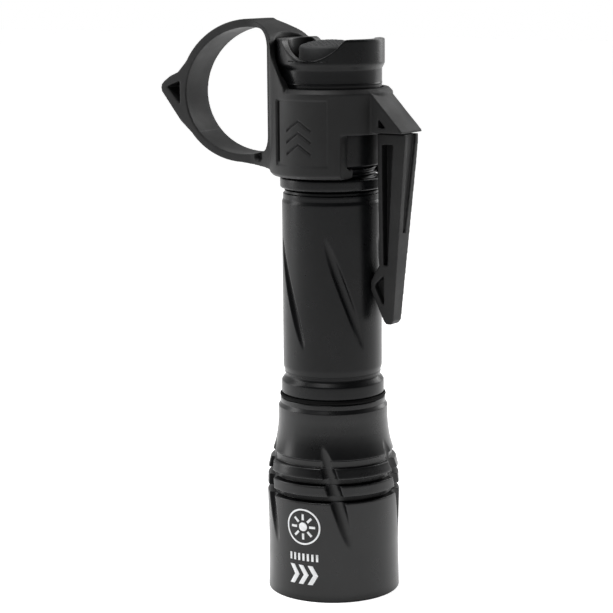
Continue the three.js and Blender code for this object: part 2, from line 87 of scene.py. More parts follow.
def rampOf(tree, value, stops):
    ramp = tree.nodes.new("ShaderNodeValToRGB")
    tree.links.new(value, ramp.inputs["Fac"])
    elements = ramp.color_ramp.elements
    while len(elements) < len(stops):
        elements.new(0.5)
    for element, (position, shade) in zip(elements, stops):
        element.position = position
        element.color = (*shade, 1) if isinstance(shade, tuple) else (shade, shade, shade, 1)
    return ramp.outputs["Color"]


def rescaled(tree, value, source, target, smooth=False):
    node = tree.nodes.new("ShaderNodeMapRange")
    if smooth:
        node.interpolation_type = "SMOOTHSTEP"
    for socket, number in zip(("From Min", "From Max", "To Min", "To Max"), (*source, *target)):
        node.inputs[socket].default_value = number
    tree.links.new(value, node.inputs["Value"])
    return node.outputs["Result"]


def surface(name, look):
    # one recipe: blotchy tone, worn edges, uneven gloss, a fine grain and, where asked, painted shade in
    # recesses, all from the look's numbers
    material, tree, shader = newMaterial(name)
    coords = tree.nodes.new("ShaderNodeTexCoord").outputs["Object"]
    dark, light = look["dark"], look["light"]
    tone = rampOf(tree, noiseAt(tree, coords, look["blotch"]), [(0.32, dark), (0.7, light)])
    if look.get("edge"):
        pointy = tree.nodes.new("ShaderNodeNewGeometry").outputs["Pointiness"]
        low, high = look["edgeFrom"], look["edgeTo"]
        worn = rampOf(tree, pointy, [(low, 0.0), (high, 1.0)])
        breakUp = rampOf(tree, noiseAt(tree, coords, look["wear"]), [(0.35, 0.25), (0.65, 1.0)])
        mask = addNode(tree, "ShaderNodeMath", operation="MULTIPLY")
        tree.links.new(worn, mask.inputs[0])
        tree.links.new(breakUp, mask.inputs[1])
        mix = tree.nodes.new("ShaderNodeMix")
        mix.data_type = "RGBA"
        tree.links.new(mask.outputs[0], mix.inputs["Factor"])
        tree.links.new(tone, mix.inputs["A"])
        mix.inputs["B"].default_value = (*look["edge"], 1)
        tone = mix.outputs["Result"]
    tree.links.new(tone, shader.inputs["Base Color"])
    gloss = noiseAt(tree, coords, look["smudge"], 6.0)
    tree.links.new(rescaled(tree, gloss, (0.3, 0.7), look["rough"]), shader.inputs["Roughness"])
    grain = noiseAt(tree, coords, look["grain"], 3.0, 0.6)
    height = grain
    if look.get("lathe"):
        turning = addNode(
            tree, "ShaderNodeTexWave", bands_direction="Z", Scale=look["lathe"], Distortion=0.4,
        )
        tree.links.new(coords, turning.inputs["Vector"])
        mixed = addNode(tree, "ShaderNodeMath", operation="MULTIPLY_ADD")
        mixed.inputs[1].default_value = look.get("latheShare", 0.25)
        tree.links.new(turning.outputs["Fac"], mixed.inputs[0])
        tree.links.new(grain, mixed.inputs[2])
        height = mixed.outputs[0]
    bump = addNode(tree, "ShaderNodeBump", Strength=look["bump"], Distance=look["bumpDepth"])
    tree.links.new(height, bump.inputs["Height"])
    tree.links.new(bump.outputs["Normal"], shader.inputs["Normal"])
    shader.inputs["Metallic"].default_value = look.get("metal", 0.0)
    shader.inputs["Specular IOR Level"].default_value = look.get("specular", 0.5)
    if look.get("pocket"):
        # painted shade: ambient occlusion takes the shine out of grooves, slots and inner corners, standing
        # in for the shade that falls there
        paintedShadeAO = addNode(tree, "ShaderNodeAmbientOcclusion", Distance=look["pocket"], samples=8)
        shine = rescaled(tree, paintedShadeAO.outputs["AO"], (0.3, 0.72), (0.02, look["specular"]))
        tree.links.new(shine, shader.inputs["Specular IOR Level"])
    shader.inputs["Coat Weight"].default_value = look.get("coat", 0.0)
    shader.inputs["Coat Roughness"].default_value = look.get("coatRough", 0.3)
    shader.inputs["Transmission Weight"].default_value = look.get("clear", 0.0)
    shader.inputs["Sheen Weight"].default_value = look.get("sheen", 0.0)
    return material


base = dict(blotch=60, smudge=140, grain=5200, bump=0.25, bumpDepth=0.00002, wear=900)
looks = {
    "hardAnodised": dict(
        base, dark=(0.0025, 0.0026, 0.0029), light=(0.0048, 0.005, 0.0054),
        rough=(0.25, 0.33), specular=0.38,
        edge=(0.03, 0.031, 0.033), edgeFrom=0.53, edgeTo=0.62, lathe=2600, latheShare=0.2, pocket=0.005,
    ),
    # painted shade: a darker, duller copy of hardAnodised for the tube, lock ring and tailcap, standing in
    # for the dimmer reflections they catch
    "shadedTubeAnodised": dict(
        base, dark=(0.0022, 0.0024, 0.0027), light=(0.0042, 0.0045, 0.005),
        rough=(0.25, 0.33), specular=0.23,
        edge=(0.03, 0.031, 0.033), edgeFrom=0.53, edgeTo=0.62, lathe=2600, latheShare=0.2, pocket=0.005,
    ),
    "mouldedNylon": dict(
        base, dark=(0.0065, 0.0066, 0.0068), light=(0.0105, 0.0106, 0.0108),
        rough=(0.46, 0.58), specular=0.29, edge=(0.035, 0.035, 0.036), edgeFrom=0.53, edgeTo=0.64,
        grain=3600, bump=0.5, bumpDepth=0.00004, blotch=90, pocket=0.005,
    ),
    "buttonRubber": dict(
        base, dark=(0.03, 0.031, 0.032), light=(0.048, 0.049, 0.05), rough=(0.6, 0.75), specular=0.35,
        grain=4200, bump=0.4, bumpDepth=0.00003, sheen=0.1,
    ),
    "sealRubber": dict(
        base, dark=(0.001, 0.001, 0.001), light=(0.002, 0.002, 0.002), rough=(0.55, 0.7),
        specular=0.08, grain=3000,
    ),
    "springSteel": dict(
        base, dark=(0.46, 0.46, 0.47), light=(0.6, 0.6, 0.61), rough=(0.2, 0.32), metal=1.0, grain=6000,
    ),
    "mirrorCoat": dict(
        base, dark=(0.86, 0.87, 0.88), light=(0.92, 0.92, 0.93), rough=(0.03, 0.07), metal=1.0, grain=1500,
        bump=0.6, bumpDepth=0.00002,
    ),
    "brass": dict(
        base, dark=(0.45, 0.31, 0.12), light=(0.6, 0.43, 0.19), rough=(0.28, 0.4), metal=1.0, lathe=1800,
    ),
    "printedCircuit": dict(
        base, dark=(0.012, 0.07, 0.028), light=(0.022, 0.1, 0.04), rough=(0.35, 0.5), coat=0.5, grain=1200,
    ),
    "whiteBoard": dict(
        base, dark=(0.62, 0.62, 0.6), light=(0.74, 0.74, 0.72), rough=(0.4, 0.55), grain=2500,
    ),
    "phosphor": dict(
        base, dark=(0.72, 0.55, 0.09), light=(0.85, 0.68, 0.16), rough=(0.35, 0.5), coat=0.7, grain=2200,
    ),
    "cellWrap": dict(
        base, dark=(0.015, 0.08, 0.24), light=(0.025, 0.11, 0.3), rough=(0.25, 0.38), coat=0.3, grain=900,
    ),
    "switchPlastic": dict(
        base, dark=(0.01, 0.01, 0.01), light=(0.02, 0.02, 0.02), rough=(0.45, 0.6), grain=3000,
    ),
    "lensGlass": dict(
        base, dark=(0.93, 0.96, 0.97), light=(0.97, 0.99, 1.0), rough=(0.0, 0.02), clear=1.0, grain=400,
        bump=0.02, bumpDepth=0.000005, coat=0.4, coatRough=0.03,
    ),
    "printInk": dict(
        base, dark=(0.74, 0.75, 0.76), light=(0.86, 0.87, 0.88), rough=(0.45, 0.6), grain=4500, blotch=800,
    ),
}
materials = {name: surface(name, look) for name, look in looks.items()}
print("materials ready:", len(materials))


# from here to place() every mesh is in millimetres
def meshObject(name, points, faces):
    mesh = bpy.data.meshes.new(name)
    mesh.from_pydata([tuple(p) for p in points], [], [tuple(f) for f in faces])
    mesh.update()
    made = bpy.data.objects.new(name, mesh)
    bpy.context.scene.collection.objects.link(made)
    return made


def faceOutward(made, spare=False):
    edit = bmesh.new()
    edit.from_mesh(made.data)
    if spare:
        bmesh.ops.delete(edit, geom=[v for v in edit.verts if not v.link_faces], context="VERTS")
    bmesh.ops.recalc_face_normals(edit, faces=edit.faces)
    edit.to_mesh(made.data)
    edit.free()
    return made


def bakeModifiers(made):
    graph = bpy.context.evaluated_depsgraph_get()
    mesh = bpy.data.meshes.new_from_object(made.evaluated_get(graph))
    old = made.data
    made.modifiers.clear()
    made.data = mesh
    bpy.data.meshes.remove(old)
    return made


def combine(made, operation, *tools):
    for tool in tools:
        step = made.modifiers.new("shape", "BOOLEAN")
        step.operation = operation
        step.object = tool
        step.solver = "MANIFOLD"
    bakeModifiers(made)
    for tool in tools:
        bpy.data.objects.remove(tool)
    return made


def moulded(made, voxel, passes):
    # rounds every edge the way a mould does: an even skin of small faces, then relaxed
    skin = made.modifiers.new("skin", "REMESH")
    skin.mode = "VOXEL"
    skin.voxel_size = voxel * 1.0
    relax = made.modifiers.new("relax", "SMOOTH")
    relax.factor = 0.5
    relax.iterations = passes
    return bakeModifiers(made)


def place(made, body, material, slotName, *replaced):
    made.data.transform(Matrix.Translation((axisX, axisY, 0)) @ Matrix.Scale(mm, 4))
    co = np.empty(len(made.data.vertices) * 3)
    made.data.vertices.foreach_get("co", co)
    held = np.clip(co.reshape(-1, 3), *np.array(cadBox))  # never past the frame's box
    made.data.vertices.foreach_set("co", held.ravel())
    made.data.shade_smooth()
    made.data.materials.clear()
    made.data.materials.append(materials[material])
    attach(made, body)
    if replaced:
        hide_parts(*replaced)
    print("placed", made.name, len(made.data.polygons), "faces")
    return made


def softened(corners, radius, closed=True, steps=3):
    # a turned profile with every corner broken by a small arc; a corner may carry its own radius
    count = len(corners)
    path = []
    for i, corner in enumerate(corners):
        here = np.array(corner[:2], float)
        if not closed and i in (0, count - 1):
            path.append(here)
            continue
        before = np.array(corners[i - 1][:2], float)
        after = np.array(corners[(i + 1) % count][:2], float)
        own = corner[2] if len(corner) > 2 else radius
        reach = min(own, 0.45 * np.linalg.norm(before - here), 0.45 * np.linalg.norm(after - here))
        start = here + (before - here) / np.linalg.norm(before - here) * reach
        end = here + (after - here) / np.linalg.norm(after - here) * reach
        for t in np.linspace(0, 1, steps + 1):
            path.append((1 - t) ** 2 * start + 2 * t * (1 - t) * here + t * t * end)
    return np.array(path)


def divided(path, step, closed=True):
    # adds points so that no stretch is longer than step, which may depend on the place
    out = []
    count = len(path)
    for i in range(count if closed else count - 1):
        a, b = path[i], path[(i + 1) % count]
        most = step((a + b) / 2) if callable(step) else step
        parts = max(1, int(math.ceil(np.linalg.norm(b - a) / most)))
        out.extend(a + (b - a) * k / parts for k in range(parts))
    if not closed:
        out.append(path[-1])
    return np.array(out)


def turned(name, path, segments, reshape=None, closed=True):
    angles = np.linspace(0, 2 * math.pi, segments, endpoint=False)
    theta = np.broadcast_to(angles, (len(path), segments))
    radius = np.broadcast_to(path[:, :1], theta.shape).copy()
    height = np.broadcast_to(path[:, 1:2], theta.shape).copy()
    if reshape:
        radius, height = reshape(theta, radius, height)
    points = np.stack([radius * np.cos(theta), radius * np.sin(theta), height], -1).reshape(-1, 3)
    p = np.arange(len(path) if closed else len(path) - 1)[:, None]
    s = np.arange(segments)[None, :]
    nextP, nextS = (p + 1) % len(path), (s + 1) % segments
    corners = [p * segments + s, p * segments + nextS, nextP * segments + nextS, nextP * segments + s]
    faces = np.stack(np.broadcast_arrays(*corners), -1).reshape(-1, 4).tolist()
    if not closed:
        # both ends lie on the axis: each is one point with a fan of triangles
        last = len(points) - segments
        around = [(k, (k + 1) % segments) for k in range(segments)]
        faces = [(0, segments + a, segments + b) for a, b in around] + faces[segments:-segments]
        faces += [(last, last - segments + b, last - segments + a) for a, b in around]
    return faceOutward(meshObject(name, points, faces), spare=not closed)


def plateXZ(name, outline, width):
    # a flat outline of (x, z) points, width wide across Y
    count = len(outline)
    points = [(x, -width / 2, z) for x, z in outline] + [(x, width / 2, z) for x, z in outline]
    faces = [(i, (i + 1) % count, count + (i + 1) % count, count + i) for i in range(count)]
    faces += [tuple(range(count)), tuple(range(2 * count - 1, count - 1, -1))]
    return faceOutward(meshObject(name, points, faces))


def plateXY(name, outline, low, high):
    count = len(outline)
    points = [(x, y, low) for x, y in outline] + [(x, y, high) for x, y in outline]
    faces = [(i, (i + 1) % count, count + (i + 1) % count, count + i) for i in range(count)]
    faces += [tuple(range(count)), tuple(range(2 * count - 1, count - 1, -1))]
    return faceOutward(meshObject(name, points, faces))


def blockXZ(name, x0, x1, z0, z1, width):
    return plateXZ(name, [(x0, z0), (x1, z0), (x1, z1), (x0, z1)], width)


def softMin(a, b, blend):
    gap = np.maximum(blend - np.abs(a - b), 0) / blend
    return np.minimum(a, b) - gap * gap * blend / 4


farAway = 199.0  # past every piece


# how far out from the axis a round cutter's straight passes leave the metal
def cutterReach(theta, height, path):
    reach = np.full(theta.shape, farAway)

    def onAxis(radius, degrees, z):
        turn = math.radians(degrees)
        return np.array([radius * math.cos(turn), radius * math.sin(turn), z])

    for i in range(path["count"]):
        turn = 360 / path["count"] * i
        low = onAxis(path["lowRadius"], path["lowAngle"] + turn, path["low"])
        high = onAxis(path["highRadius"], path["highAngle"] + turn, path["high"])
        out = onAxis(path["cutter"], (path["lowAngle"] + path["highAngle"]) / 2 + turn, 0)
        along = (high - low) / np.linalg.norm(high - low)
        start = low + out
        ux, uy = np.cos(theta), np.sin(theta)
        bx, by, bz = -start[0], -start[1], height - start[2]
        uAlong = ux * along[0] + uy * along[1]
        bAlong = bx * along[0] + by * along[1] + bz * along[2]
        a = 1 - uAlong ** 2
        b = ux * bx + uy * by - uAlong * bAlong
        c = bx * bx + by * by + bz * bz - bAlong ** 2 - path["cutter"] ** 2
        inside = b * b - a * c
        near = (-b - np.sqrt(np.maximum(inside, 0))) / a
        good = (inside > 0) & (near > path["lowRadius"] * 0.5)
        reach = np.where(good, np.minimum(reach, near), reach)
    return reach


# the head: a turned shell with three grooves, cut by five slanting flutes
head = dict(
    outline=[
        (14.9, 0), (16.9, 0), (17.05, 0.2), (16.9, 6), (16.85, 12), (16.95, 18), (17.15, 26.2, 0.35),
        (15.15, 26.2, 0.2), (15.15, 27.9, 0.2), (17.1, 27.9, 0.3), (16.95, 30.6, 0.3),
        (15.15, 30.6, 0.2), (15.15, 32.3, 0.2), (16.9, 32.3, 0.3), (16.25, 35, 0.35),
        (15.15, 35, 0.2), (15.15, 36.7, 0.2), (15.6, 36.9, 0.2), (15.1, 38.4, 1), (14.65, 40.3, 1),
        (14.3, 42.6, 1), (14.07, 45.5, 1), (14.1, 48.5, 0.12), (13.5, 49.4, 0.1), (13.5, 50.6), (13.3, 50.8),
        (11.9, 50.8), (11.6, 50.5), (11.6, 38.7), (11, 38.7), (11, 24.4), (14.9, 24.4),
    ],
    edge=0.12,
    outerFrom=12.5,  # anything further out is the outside wall
    cutFrom=8, cutTo=44,
    rowStep=0.5, coarseStep=2.5,
    segments=640,
    edgeBlend=0.12,
)
headFlute = dict(
    count=5, low=13.6, lowAngle=-41, lowRadius=17.05, high=40, highAngle=-69, highRadius=14.75, cutter=1.9,
)


def headShape(theta, radius, height):
    outside = radius > head["outerFrom"]
    cut = softMin(radius, cutterReach(theta, height, headFlute), head["edgeBlend"])
    touched = outside & (height > head["cutFrom"]) & (height < head["cutTo"])
    return np.where(touched, cut, radius), height


headPath = divided(
    softened(head["outline"], head["edge"]),
    lambda p: head["rowStep"] if p[0] > head["outerFrom"] and 8 < p[1] < 46 else head["coarseStep"],
)
place(
    turned("head_shell", headPath, head["segments"], headShape),
    "head", "hardAnodised", "anodised", "head_body",
)

lensStack = dict(
    retainer=[(12.8, 0.5), (14.7, 0.5), (14.7, 2.9), (12.8, 2.9)],
    lens=[(0, 2.9), (14.5, 2.9, 0.25), (14.5, 4.9, 0.25), (0, 4.9)],
    gasket=[(13.3, 4.95), (14.45, 4.95), (14.45, 5.55), (13.3, 5.55)],
    bowlRim=13.1, bowlThroat=3.4, bowlTop=23.9, bowlFoot=5.6, steps=40,
    bowlBack=[(14.5, 5.6), (14.5, 7.1), (13.4, 7.8), (10.8, 15.5), (7.4, 21.5), (5.2, 24.6), (3.4, 24.6)],
)
spannerSlot = dict(halfWidth=1.0, floor=1.7, below=1.5, slope=0.01)


def spannerSlots(theta, radius, height):
    # two slots across the lower face for the tool that screws the ring in
    across = np.abs(radius * np.sin(theta)) < spannerSlot["halfWidth"]
    lifted = spannerSlot["floor"] - (spannerSlot["below"] - height) * spannerSlot["slope"]
    return radius, np.where(across & (height < spannerSlot["below"]), lifted, height)


retainerPath = divided(softened(lensStack["retainer"], 0.15), 0.5)
place(
    turned("bezel_retainer", retainerPath, 360, spannerSlots), "head", "hardAnodised", "anodised",
    "lens_retaining_ring",
)
lensPath = softened(lensStack["lens"], 0.2, closed=False)
place(turned("front_lens", lensPath, 160, closed=False), "head", "lensGlass", "glass", "lens")
gasketPath = softened(lensStack["gasket"], 0.25)
place(turned("lens_seat_gasket", gasketPath, 160), "head", "sealRubber", "seal_rubber", "lens_gasket")

depth = lensStack["bowlTop"] - lensStack["bowlFoot"]
spread = (lensStack["bowlRim"] ** 2 - lensStack["bowlThroat"] ** 2) / depth
bowlPath = [
    (math.sqrt(lensStack["bowlThroat"] ** 2 + spread * depth * k / lensStack["steps"]),
     lensStack["bowlTop"] - depth * k / lensStack["steps"])
    for k in range(lensStack["steps"] + 1)
]
bowlMade = turned("reflector_bowl", np.array(bowlPath + lensStack["bowlBack"]), 200)
place(bowlMade, "head", "mirrorCoat", "mirror", "reflector")
print("head done")


# white print on the head: a plain light symbol, a row of ticks and three arrows
printed = dict(
    lift=0.02, thickness=0.04, centre=-84.5,
    ringHeight=19.7, ringOuter=4.75, ringInner=4.3,
    hub=1.15, rays=8, rayFrom=1.75, rayTo=3.35, rayWidth=0.62,
    tickLow=10.7, tickHigh=12.6, tickCount=7, tickPitch=1.25, tickWidth=0.6,
    arrowLow=4.5, arrowHigh=9.5, arrowCount=3, arrowPitch=2.6, arrowWidth=1.35, arrowLean=1.5,
)
wall = [corner[:2] for corner in head["outline"][2:7]]  # the print follows this run of the head's outline


def printPatch(corner, countP, countQ, points, faces):
    # corner(p, q) gives the arc length and the height of a spot on the mark
    first = len(points)
    for i in range(countP + 1):
        for j in range(countQ + 1):
            arc, z = corner(i / countP, j / countQ)
            radius = float(np.interp(z, [h for _, h in wall], [r for r, _ in wall])) + printed["lift"]
            turn = math.radians(printed["centre"]) + arc / radius
            points.append((radius * math.cos(turn), radius * math.sin(turn), z))
    for i in range(countP):
        for j in range(countQ):
            a = first + i * (countQ + 1) + j
            faces.append((a, a + countQ + 1, a + countQ + 2, a + 1))


def leaning(arc, width, low, high, lean):
    return lambda p, q: (arc + width * (p - 0.5) + lean * q, low + (high - low) * q)


def printMark(name, patches):
    points, faces = [], []
    for corner, countP, countQ in patches:
        printPatch(corner, countP, countQ, points, faces)
    made = faceOutward(meshObject(name, points, faces))
    thick = made.modifiers.new("ink", "SOLIDIFY")
    thick.thickness = printed["thickness"]
    thick.offset = 0
    bakeModifiers(made)
    place(made, "head", "printInk", "anodised")


def polar(inner, outer, middle):
    def corner(p, q):
        turn = 2 * math.pi * p
        reach = inner + (outer - inner) * q
        return reach * math.cos(turn), middle + reach * math.sin(turn)
    return corner


def rayPatch(turn):
    def corner(p, q):
        along = printed["rayFrom"] + (printed["rayTo"] - printed["rayFrom"]) * q
        across = printed["rayWidth"] * (p - 0.5)
        return (
            along * math.cos(turn) - across * math.sin(turn),
            printed["ringHeight"] + along * math.sin(turn) + across * math.cos(turn),
        )
    return corner


symbol = [(polar(printed["ringInner"], printed["ringOuter"], printed["ringHeight"]), 96, 1)]
symbol.append((polar(0.02, printed["hub"], printed["ringHeight"]), 32, 3))
symbol += [(rayPatch(2 * math.pi * k / printed["rays"]), 2, 4) for k in range(printed["rays"])]
printMark("light_symbol", symbol)

ticks = []
for k in range(printed["tickCount"]):
    arc = (k - (printed["tickCount"] - 1) / 2) * printed["tickPitch"]
    ticks.append((leaning(arc, printed["tickWidth"], printed["tickLow"], printed["tickHigh"], 0), 2, 2))
printMark("tick_row", ticks)

arrows = []
middle = (printed["arrowLow"] + printed["arrowHigh"]) / 2
for k in range(printed["arrowCount"]):
    arc = (k - (printed["arrowCount"] - 1) / 2) * printed["arrowPitch"] - printed["arrowLean"] / 2
    lean = printed["arrowLean"]
    arrows.append((leaning(arc, printed["arrowWidth"], printed["arrowLow"], middle, lean), 4, 6))
    arrows.append((leaning(arc + lean, printed["arrowWidth"], middle, printed["arrowHigh"], -lean), 4, 6))
printMark("arrow_row", arrows)
print("print done")


# the battery tube with its threads, then the lock ring and the seam seal
tube = dict(
    outline=[
        (9.6, 39.2), (11, 39.2), (11.4, 39.7), (11.4, 45.25), (10.5, 45.25), (10.5, 47.15), (11.4, 47.15),
        (11.4, 51.9, 0.05), (13, 51.9), (13.2, 52.2), (13.2, 55.2, 0.3), (12.25, 56.4, 0.3),
        (12.2, 57.1, 0.15), (12.4, 57.3, 0.1), (12.35, 57.8, 0.1), (12.7, 59, 0.35), (12.7, 101.4, 0.2),
        (12.4, 102.1, 0.08), (12.4, 103.5, 0.08), (12, 103.7, 0.08), (12, 104.3, 0.08),
        (10.9, 104.4, 0.05), (10.9, 104.8, 0.05),
        (11.4, 105.3, 0.05), (11.4, 112.45), (10.5, 112.45), (10.5, 114.35), (11.4, 114.35), (11.4, 117.7),
        (11, 118.2), (9.6, 118.2),
    ],
    edge=0.1,
    segments=600,
    edgeBlend=0.1,
    threadCrest=11.4, threadRoot=10.92, threadPitch=1.25, threadSteep=1.7, threadFlat=0.25,
    # two stretches at each end, with an O-ring groove between them
    threads=[(39.8, 45.0), (47.4, 51.6), (105.2, 112.2), (114.6, 117.6)],
    fluteFrom=61, fluteTo=97, bodyFrom=12.3,
)
tubeFlute = dict(
    count=5, low=65.6, lowAngle=-19, lowRadius=12.7, high=92, highAngle=-66, highRadius=12.7, cutter=1.35,
)


def tubeStep(p):
    if p[0] < 10.8:
        return 6.0
    if tube["fluteFrom"] < p[1] < tube["fluteTo"] and p[0] > 12:
        return 0.4
    if p[0] < 11.45 and (p[1] > 104.8 or p[1] < 51.8):
        return 0.16
    return 1.2


def tubeShape(theta, radius, height):
    cut = softMin(radius, cutterReach(theta, height, tubeFlute), tube["edgeBlend"])
    fluted = (radius > tube["bodyFrom"]) & (height > tube["fluteFrom"]) & (height < tube["fluteTo"])
    radius = np.where(fluted, cut, radius)
    # a real helical thread wherever the tube is cut down to the thread's crest
    wave = np.abs(((height / tube["threadPitch"] - theta / (2 * math.pi)) % 1.0) - 0.5) * 2
    share = np.clip(wave * tube["threadSteep"] - tube["threadFlat"], 0, 1)
    ridge = tube["threadRoot"] + (tube["threadCrest"] - tube["threadRoot"]) * share
    threaded = sum((height > low) & (height < high) for low, high in tube["threads"]) > 0
    threaded = threaded & (np.abs(radius - tube["threadCrest"]) < 0.02)
    return np.where(threaded, ridge, radius), height


tubePath = divided(softened(tube["outline"], tube["edge"]), tubeStep)
place(
    turned("tube_shell", tubePath, tube["segments"], tubeShape),
    "barrel", "shadedTubeAnodised", "anodised", "battery_tube",
)

lockRing = dict(
    outline=[
        (11.6, 104.9), (12.83, 104.9, 0.1), (13.13, 105.2, 0.2), (13.13, 107.4, 0.2), (12.83, 107.7, 0.1),
        (11.6, 107.7),
    ],
    edge=0.12,
)
lockPath = divided(softened(lockRing["outline"], lockRing["edge"]), 0.6)
place(turned("locking_ring", lockPath, 360), "lock_ring", "shadedTubeAnodised", "anodised", "lock_ring")

seam = dict(
    outline=[
        (11.6, 50.85), (13.4, 50.85), (13.65, 51.15, 0.3), (13.65, 51.55, 0.3), (13.4, 51.85), (11.6, 51.85),
    ],
    edge=0.1,
)
seamPath = softened(seam["outline"], seam["edge"])
place(turned("seam_ring", seamPath, 300), "seam_seal", "sealRubber", "seal_rubber", "head_seam_seal")
print("barrel done")


# the tailcap with its scalloped rim
tailcap = dict(
    outline=[
        (11.6, 110.9), (12.55, 110.9), (12.85, 111.2), (12.85, 131), (12.95, 131.2, 0.06), (12.85, 131.5),
        (12.85, 134.8, 0.25), (13.55, 136.1, 0.35), (13.55, 142.3, 0.5), (10.95, 142.3, 0.5),
        (10.95, 136.5, 0.2), (8.25, 136.5), (8.25, 133.7), (10.45, 133.7), (10.45, 122.2), (11.6, 122.2),
    ],
    edge=0.12, segments=480,
    rim=142.3, ramp=137.2, wallFrom=10.5,
    lip=0.6,  # the rounded top of the wall, which moves down whole
    sink=0.15,
)
scallop = dict(radius=10, depth=5.2, turn=6, blend=0.7)


def tailShape(theta, radius, height):
    # the wall above the ramp is pressed down to the scallop, keeping its rounded rim
    across = radius * np.sin(theta - math.radians(scallop["turn"] - 90))
    inside = np.sqrt(np.maximum(scallop["radius"] ** 2 - across ** 2, 0))
    bottom = tailcap["rim"] - scallop["depth"] + scallop["radius"] - inside
    bottom = np.where(np.abs(across) < scallop["radius"], bottom, farAway)
    rim = softMin(np.full(theta.shape, tailcap["rim"]), bottom, scallop["blend"])
    onWall = (radius > tailcap["wallFrom"]) & (height > tailcap["ramp"])
    share = np.clip((height - tailcap["ramp"]) / (tailcap["rim"] - tailcap["ramp"]), 0, 1)
    lipShare = 1 - tailcap["lip"] / (tailcap["rim"] - tailcap["ramp"])
    low = tailcap["ramp"] - tailcap["sink"]
    below = low + (rim - tailcap["lip"] - low) * share / lipShare
    pressed = np.where(height > tailcap["rim"] - tailcap["lip"], rim - (tailcap["rim"] - height), below)
    return radius, np.where(onWall, pressed, height)


def tailStep(p):
    if p[1] > 134:
        return 0.35
    return 1.0 if p[0] > 12 else 4.0


tailPath = divided(softened(tailcap["outline"], tailcap["edge"], steps=5), tailStep)
place(
    turned("tailcap_body", tailPath, tailcap["segments"], tailShape),
    "tailcap", "shadedTubeAnodised", "anodised", "tailcap_shell",
)

button = dict(
    outline=[
        (0, 134.6), (5.6, 134.6), (5.6, 132.2), (10.3, 132.2), (10.3, 133.6), (8, 133.6),
        (8, 140.1, 0.7), (7.5, 140.65, 0.4), (5.9, 141.25, 0.6), (3.2, 141.8, 0.8), (0, 141.98),
    ],
    pitch=1.15, grip=0.32, gripSteepness=1.25, gripFrom=140.4, gripRadius=7.3, turn=51,
    segments=360, fineStep=0.11, coarseStep=1.5,
)


def buttonShape(theta, radius, height):
    # small pyramids in a square grid, cut down into the dome
    turn = math.radians(button["turn"])
    u = radius * np.cos(theta - turn) / button["pitch"]
    v = radius * np.sin(theta - turn) / button["pitch"]
    fromGroove = np.minimum(1 - np.abs(u % 1.0 - 0.5) * 2, 1 - np.abs(v % 1.0 - 0.5) * 2)
    pyramid = 1 - np.clip(fromGroove * button["gripSteepness"], 0, 1)
    top = (height > button["gripFrom"]) & (radius < button["gripRadius"])
    return radius, np.where(top, height - button["grip"] * pyramid, height)


buttonPath = divided(
    softened(button["outline"], 0.1, closed=False),
    lambda p: button["fineStep"] if p[1] > button["gripFrom"] else button["coarseStep"],
    closed=False,
)
place(
    turned("grip_button", buttonPath, button["segments"], buttonShape, closed=False),
    "button", "buttonRubber", "button_rubber", "tail_button",
)
print("tailcap done")


# the collar that carries the finger ring and the clip
collar = dict(
    radius=15.6, low=108.1, high=130.2, topChamfer=1.1, footChamfer=0.8,
    bore=13.1, flangeBore=11.7, flange=2.4,
    webBore=14.05, webBoreStart=131.8, webBoreFull=133.6, webFoot=128.2, webTop=150.3,
    segments=256, voxel=0.19, relax=9,
)
clipRoof = dict(
    outline=[(11, 129.8), (14.2, 129.8), (23.6, 120), (23.6, 119.5), (11, 119.5)], width=10,
    hole=[(16.9, 120.7), (19, 120.7), (16.9, 123.1)],
    windowFrom=10.2, windowTop=119, roomFrom=15.3, roomTop=119.5, reach=30,
)
finger = dict(
    x=-22.8, z=128.6, halfLength=19.4, halfHeight=16.1, tilt=12, wall=2.1, width=10,
    edge=-14.2, upperRadius=5, upperHeight=139.8, lowerRadius=4.8, lowerHeight=117.7,
    flareFrom=-22, flareTo=-9.5, flareWidth=12.1, flarePower=1.9, steps=200,
    farEnd=-55.2, nearEnd=-20.4, filletTop=145.3, filletFoot=111.1,
)
wide = 36  # across Y, more than any piece
spurHoleOutline = [(-48.3, 129), (-44.1, 130.6), (-44.1, 124.5)]


def ellipse(grow):
    tilt = math.radians(finger["tilt"])
    out = []
    for k in range(finger["steps"]):
        turn = 2 * math.pi * k / finger["steps"]
        along = (finger["halfLength"] + grow) * math.cos(turn)
        across = (finger["halfHeight"] + grow) * math.sin(turn)
        out.append((
            finger["x"] + along * math.cos(tilt) - across * math.sin(tilt),
            finger["z"] + along * math.sin(tilt) + across * math.cos(tilt),
        ))
    return out


def bandPlan():
    # from above: a straight band that flares in two hollow curves onto the collar
    half = finger["width"] / 2
    side = [(-52.2, half)]
    for k in range(25):
        t = k / 24
        side.append((
            finger["flareFrom"] + (finger["flareTo"] - finger["flareFrom"]) * t,
            half + (finger["flareWidth"] - half) * t ** finger["flarePower"],
        ))
    side.append((-2, finger["flareWidth"]))
    return [(x, -y) for x, y in reversed(side)] + side


def spline(points, each=6):
    # a smooth run through the given points
    out = []
    for i in range(len(points) - 1):
        p0 = np.array(points[max(i - 1, 0)], float)
        p1, p2 = np.array(points[i], float), np.array(points[i + 1], float)
        p3 = np.array(points[min(i + 2, len(points) - 1)], float)
        for k in range(each):
            t = k / each
            out.append(tuple(0.5 * (
                2 * p1 + (p2 - p0) * t + (2 * p0 - 5 * p1 + 4 * p2 - p3) * t ** 2
                + (3 * p1 - p0 - 3 * p2 + p3) * t ** 3
            )))
    out.append(tuple(points[-1]))
    return out


